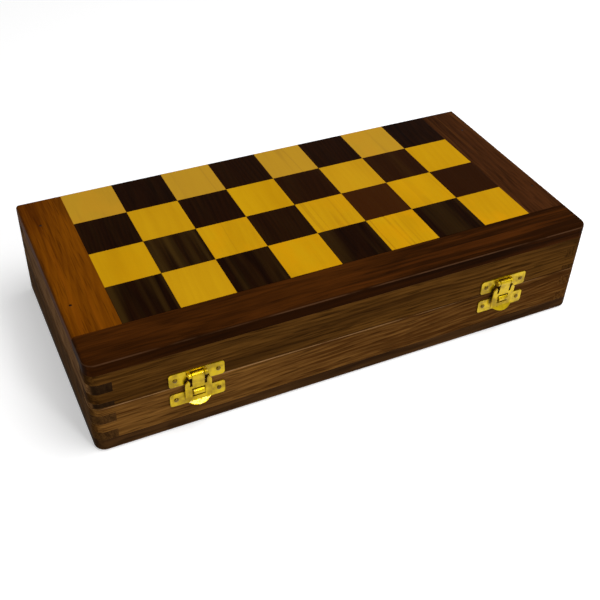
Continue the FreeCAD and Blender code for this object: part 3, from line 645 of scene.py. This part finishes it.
def board_wood(name, kind, along, tones, cut_from, heart, end, edge, rub):
    """Oiled wood of one board, sawn at an angle to the heart, with darker ends and rubbed edges whose
    paler tone is also a painted highlight.

    The depth of its tone and the rubbing and painted highlight of its edges change from its first end
    to its last.
    """
    material, w = new_material(name)
    coordinates = w.add("TexCoord").outputs
    facing = w.split(w.vector("ABSOLUTE", coordinates["Normal"]))
    position = w.split(coordinates["Object"])[along]
    reach = getattr(cad_box[1], along.lower())
    length = (-reach, reach)
    if along == "X":
        across = "Y"
        turn = (SAWN_AT, 0, 0)
    else:
        across = "X"
        turn = (0, SAWN_AT, -QUARTER_TURN)
    mapping = {"Vector": coordinates["Object"], "Location": cut_from, "Rotation": turn}
    end_on = w.ease(facing[along], END_FACING, (0.0, end))
    paler = (PALER_FROM_SHARE * reach, PALEST_SHARE * reach)
    darkness = w.ease(w.maths("ABSOLUTE", position), paler, (edge, PALE_EDGE_SHARE * edge))
    edge_on = w.maths("MULTIPLY", w.ease(facing[across], EDGE_FACING), darkness)
    # Round edges tilted part way up take the paler rubbed tone, partly as wear and partly as a painted
    # highlight
    round_edge_rub_and_sheen = w.ease(facing["Z"], RUBBED_AND_SHEEN_FROM[kind])
    round_edge_rub_and_sheen = w.maths("MULTIPLY", round_edge_rub_and_sheen, w.ease(facing["Z"], RUBBED_AND_SHEEN_UP_TO[kind], FALL))
    own = {
        "Vector": w.add("Mapping", mapping).outputs[0],
        "Heart": w.ease(position, length, heart),
        "Side on": w.maths("MAXIMUM", end_on, edge_on),
        "Rub and sheen": w.maths("MULTIPLY", round_edge_rub_and_sheen, w.ease(position, length, rub)),
    }
    grain = w.use(TIMBER_GRAIN, tones | MARKINGS[kind] | own)
    surface = {
        "Base Color": grain["Color"],
        "Roughness": grain["Roughness"],
        "Specular IOR Level": WOOD_GLOSS,
    }
    finish_material(w, surface, grain["Height"], GRAIN_DEPTH)
    return material


def square_wood(kind, tones, odd, oddness, back_row_sheen, patch, patches, veins):
    """Wood of sixteen squares, each cut from another place.

    The odd tone shows in a few squares, by chance, and in the back row, where it is a painted sheen.
    Patches and veins show in the streaky squares, and veins in the back row too.
    """
    material, w = new_material(f"{kind} wood")
    position = w.add("TexCoord").outputs["Object"]
    squares = w.use(SQUARE_BY_SQUARE, {"Vector": position})
    cut_from = w.vector("ADD", position, squares["Chance"])
    turn = (0, SAWN_AT, -QUARTER_TURN)
    point = w.add("Mapping", {"Vector": cut_from, "Rotation": turn}).outputs[0]
    streaky = w.maths("MULTIPLY", squares["Streaky"], squares["Streaky"])
    veined = w.maths("MULTIPLY", w.maths("MAXIMUM", streaky, squares["Back row"]), veins)
    grain = w.use(TIMBER_GRAIN, tones | MARKINGS[kind] | {"Veins": veined, "Vector": point})
    patchy = w.ease(w.cloud(point, *patch)["Fac"], PATCH_LEVELS, (0.0, patches))
    colour = w.mix(w.maths("MULTIPLY", patchy, streaky), grain["Color"], tones["Streak"])
    by_chance = w.maths("MULTIPLY", w.maths("POWER", squares["Tone"], RARITY), oddness)
    # The back row takes the paler tone as a painted sheen
    back_row_sheen_share = w.maths("MULTIPLY", squares["Back row"], back_row_sheen)
    colour = w.mix(w.maths("MAXIMUM", by_chance, back_row_sheen_share), colour, odd)
    surface = {
        "Base Color": w.mix(w.maths("MULTIPLY", squares["Seam"], SEAM_DARKNESS), colour, tones["Vein"]),
        "Roughness": grain["Roughness"],
        "Specular IOR Level": SQUARE_GLOSS,
    }
    height = w.maths("SUBTRACT", grain["Height"], squares["Seam"])
    finish_material(w, surface, height, GRAIN_DEPTH)
    return material


def lacquered_metal(name, bright, dull, roughness):
    """Lacquered metal with darker smears and fine scratches."""
    material, w = new_material(name)
    wear = w.use(HAND_WEAR, {"Vector": w.add("TexCoord").outputs["Object"]})
    rough = w.maths("ADD", w.maths("MULTIPLY", wear["Smear"], SMEAR_DULLNESS), roughness)
    rough = w.maths("ADD", w.maths("MULTIPLY", wear["Scratch"], SCRATCH_DULLNESS), rough)
    surface = {
        "Base Color": w.mix(wear["Smear"], bright, dull),
        "Roughness": rough,
        "Metallic": 1.0,
        "Coat Weight": LACQUER_WEIGHT,
        "Coat Roughness": LACQUER_ROUGHNESS,
    }
    finish_material(w, surface, w.maths("MULTIPLY", wear["Scratch"], -1), SCRATCH_DEPTH)
    return material


def felt(name, light, dark):
    """Short pressed fibres, matted unevenly."""
    material, w = new_material(name)
    position = w.add("TexCoord").outputs["Object"]
    matted = w.maths("MULTIPLY", w.cloud(position, *MATTING)["Fac"], MATTING_SHARE)
    hairs = w.cloud(position, *HAIR)["Fac"]
    share = w.maths("ADD", matted, w.maths("MULTIPLY", hairs, HAIR_SHARE))
    surface = {
        "Base Color": w.mix(w.ease(share, FELT_LEVELS), dark, light),
        "Roughness": FELT_ROUGHNESS,
        "Specular IOR Level": FELT_GLOSS,
        "Sheen Weight": FELT_SHEEN,
        "Sheen Tint": light,
    }
    finish_material(w, surface, hairs, HAIR_DEPTH)
    return material


# Soft edges and finishes of the solids


def close_seams(node):
    """Joins the points that meet where the faces of a solid do."""
    weld = nodes[node].modifiers.new("weld", "WELD")
    weld.merge_threshold = WELD_DISTANCE


def soften(node, kind):
    """Eases the sharp edges of a solid, as sanding or tumbling does."""
    close_seams(node)
    thing = nodes[node]
    flatten = thing.modifiers.new("flat faces", "DECIMATE")
    flatten.decimate_type = "DISSOLVE"
    flatten.angle_limit = FLAT_ANGLE
    bevel = thing.modifiers.new("soft edges", "BEVEL")
    bevel.width = SOFT_EDGES[kind]
    bevel.segments = EDGE_SEGMENTS
    bevel.limit_method = "ANGLE"
    bevel.angle_limit = SHARP_ANGLE
    thing.modifiers.new("flat shading of flat faces", "WEIGHTED_NORMAL")


def paint(node, material):
    for slot in nodes[node].material_slots:
        slot.material = material


def dress_board(half, side, kind, **finish):
    """Gives one board of a half its wood and its soft edges."""
    along = "X" if side in ("front", "back") else "Y"
    paint(f"{half}_{side}_{kind}", board_wood(f"{half} {side} {kind} wood", kind, along, **finish))
    soften(f"{half}_{side}_{kind}", kind)


# Linings


def felt_point(low, high, share_x, share_y, exposed, rim):
    """A point of a lining's face or back, where the felt is pressed thin along its cut edge."""
    x = low.x + (high.x - low.x) * share_x
    y = low.y + (high.y - low.y) * share_y
    thickness = (high.z - low.z) * (FELT_EDGE_SHARE if rim else 1)
    dip = 0 if rim else FELT_DIP * (1 + noise.noise(Vector((x, y, low.z)) * FELT_DIP_SCALE)) / 2
    return x, y, exposed * (thickness - dip)


def felt_layer(sheet, half, exposed):
    """Rows of points on a tray's floor: the glued back of its lining, or the exposed face."""
    low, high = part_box(f"{half}_felt_lining")
    glued, towards = (low.z, 1) if half == "base" else (high.z, -1)
    across = round((high.x - low.x) / FELT_STEP)
    deep = round((high.y - low.y) / FELT_STEP)
    rows = []
    for j in range(deep + 1):
        row = []
        for i in range(across + 1):
            rim = i in (0, across) or j in (0, deep)
            x, y, lift = felt_point(low, high, i / across, j / deep, exposed, rim)
            row.append(sheet.verts.new((x, y, glued + towards * lift)))
        rows.append(row)
    return rows


def rim_of(rows):
    """The points round a layer, in order."""
    right = [row[-1] for row in rows[1:-1]]
    left = [row[0] for row in reversed(rows[1:-1])]
    return [*rows[0], *right, *reversed(rows[-1]), *left]


def felt_mesh(half):
    """A closed sheet of felt: its back, its face and the cut edge between them."""
    sheet = bmesh.new()
    back = felt_layer(sheet, half, 0)
    face = felt_layer(sheet, half, 1)
    for rows in (back, face):
        for row, next_row in zip(rows, rows[1:]):
            for i in range(len(row) - 1):
                sheet.faces.new((row[i], row[i + 1], next_row[i + 1], next_row[i]))
    back_rim = rim_of(back)
    face_rim = rim_of(face)
    for k in range(len(back_rim)):
        after = (k + 1) % len(back_rim)
        sheet.faces.new((back_rim[k], back_rim[after], face_rim[after], face_rim[k]))
    bmesh.ops.recalc_face_normals(sheet, faces=sheet.faces)
    for panel in sheet.faces:
        panel.smooth = True
    mesh = bpy.data.meshes.new(f"{half}_felt")
    sheet.to_mesh(mesh)
    sheet.free()
    return mesh


def lay_felt(half, material):
    """A sheet of felt on the floor of a tray, in place of the plain solid."""
    mesh = felt_mesh(half)
    mesh.materials.append(material)
    piece = bpy.data.objects.new(f"{half}_felt", mesh)
    bpy.context.scene.collection.objects.link(piece)
    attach(piece, half)
    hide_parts(f"{half}_felt_lining")


# The whole board

place_camera()
light_studio()

light_wood = square_wood(
    "light square",
    LIGHT_SQUARE,
    odd=PALE_AND_SHEEN_LIGHT_SQUARE,
    oddness=0.6,
    back_row_sheen=0.6,
    patch=LIGHT_PATCH,
    patches=0.9,
    veins=0.5,
)
dark_wood = square_wood(
    "dark square",
    DARK_SQUARE,
    odd=PALE_DARK_SQUARE,
    oddness=0.5,
    back_row_sheen=0.0,
    patch=DARK_PATCH,
    patches=0.9,
    veins=0.7,
)
core_wood = board_wood(
    "core wood",
    "border",
    "X",
    tones=FRONT_BORDER,
    cut_from=CORE_CUT,
    heart=(HEART, HEART),
    end=BORDER_END,
    edge=NO_EDGE,
    rub=BORDER_RUB_AND_SHEEN,
)
clasp_brass = lacquered_metal(
    "clasp brass",
    bright=tint(196, 166, 14),
    dull=tint(152, 124, 6),
    roughness=0.36,
)
hinge_brass = lacquered_metal(
    "hinge brass",
    bright=tint(196, 160, 62),
    dull=tint(150, 118, 38),
    roughness=0.24,
)
nail_brass = lacquered_metal(
    "nail brass",
    bright=tint(128, 102, 22),
    dull=tint(84, 62, 10),
    roughness=0.26,
)
pin_steel = lacquered_metal(
    "pin steel",
    bright=tint(52, 36, 20),
    dull=tint(30, 18, 10),
    roughness=0.45,
)
green_felt = felt("green felt", light=tint(40, 92, 52), dark=tint(18, 52, 28))

for number, half in enumerate(("base", "lid")):
    for turn, (side, finishes) in enumerate(WALLS.items()):
        tones, heart, end = finishes[half]
        dress_board(
            half,
            side,
            "wall",
            tones=tones,
            cut_from=FIRST_WALL_CUT + turn * NEXT_WALL_CUT + number * LID_WALL_CUT,
            heart=heart,
            end=end,
            edge=NO_EDGE,
            rub=WALL_RUB_AND_SHEEN[half],
        )
    for turn, (side, finishes) in enumerate(BORDERS.items()):
        tones, heart = finishes[half]
        dress_board(
            half,
            side,
            "border",
            tones=tones,
            cut_from=FIRST_BORDER_CUT + turn * NEXT_BORDER_CUT + number * LID_BORDER_CUT,
            heart=heart,
            end=BORDER_END,
            edge=BORDER_EDGES[half],
            rub=BORDER_RUB_AND_SHEEN,
        )
    paint(f"{half}_core_panel", core_wood)
    paint(f"{half}_light_squares", light_wood)
    paint(f"{half}_dark_squares", dark_wood)
    paint(f"{half}_border_pins", pin_steel)
    paint(f"{half}_hinge_screws", hinge_brass)
    lay_felt(half, green_felt)
for side in ("left", "right"):
    for piece in ("catch", "latch_plate", "hasp"):
        paint(f"{side}_{piece}", clasp_brass)
        soften(f"{side}_{piece}", "metal")
    paint(f"{side}_latch_pin", clasp_brass)
    for piece in ("hinge_base_leaf", "hinge_lid_leaf", "hinge_pin"):
        paint(f"{side}_{piece}", hinge_brass)
        soften(f"{side}_{piece}", "metal")
for node in ("catch_nails", "latch_plate_nails"):
    paint(node, nail_brass)
    close_seams(node)
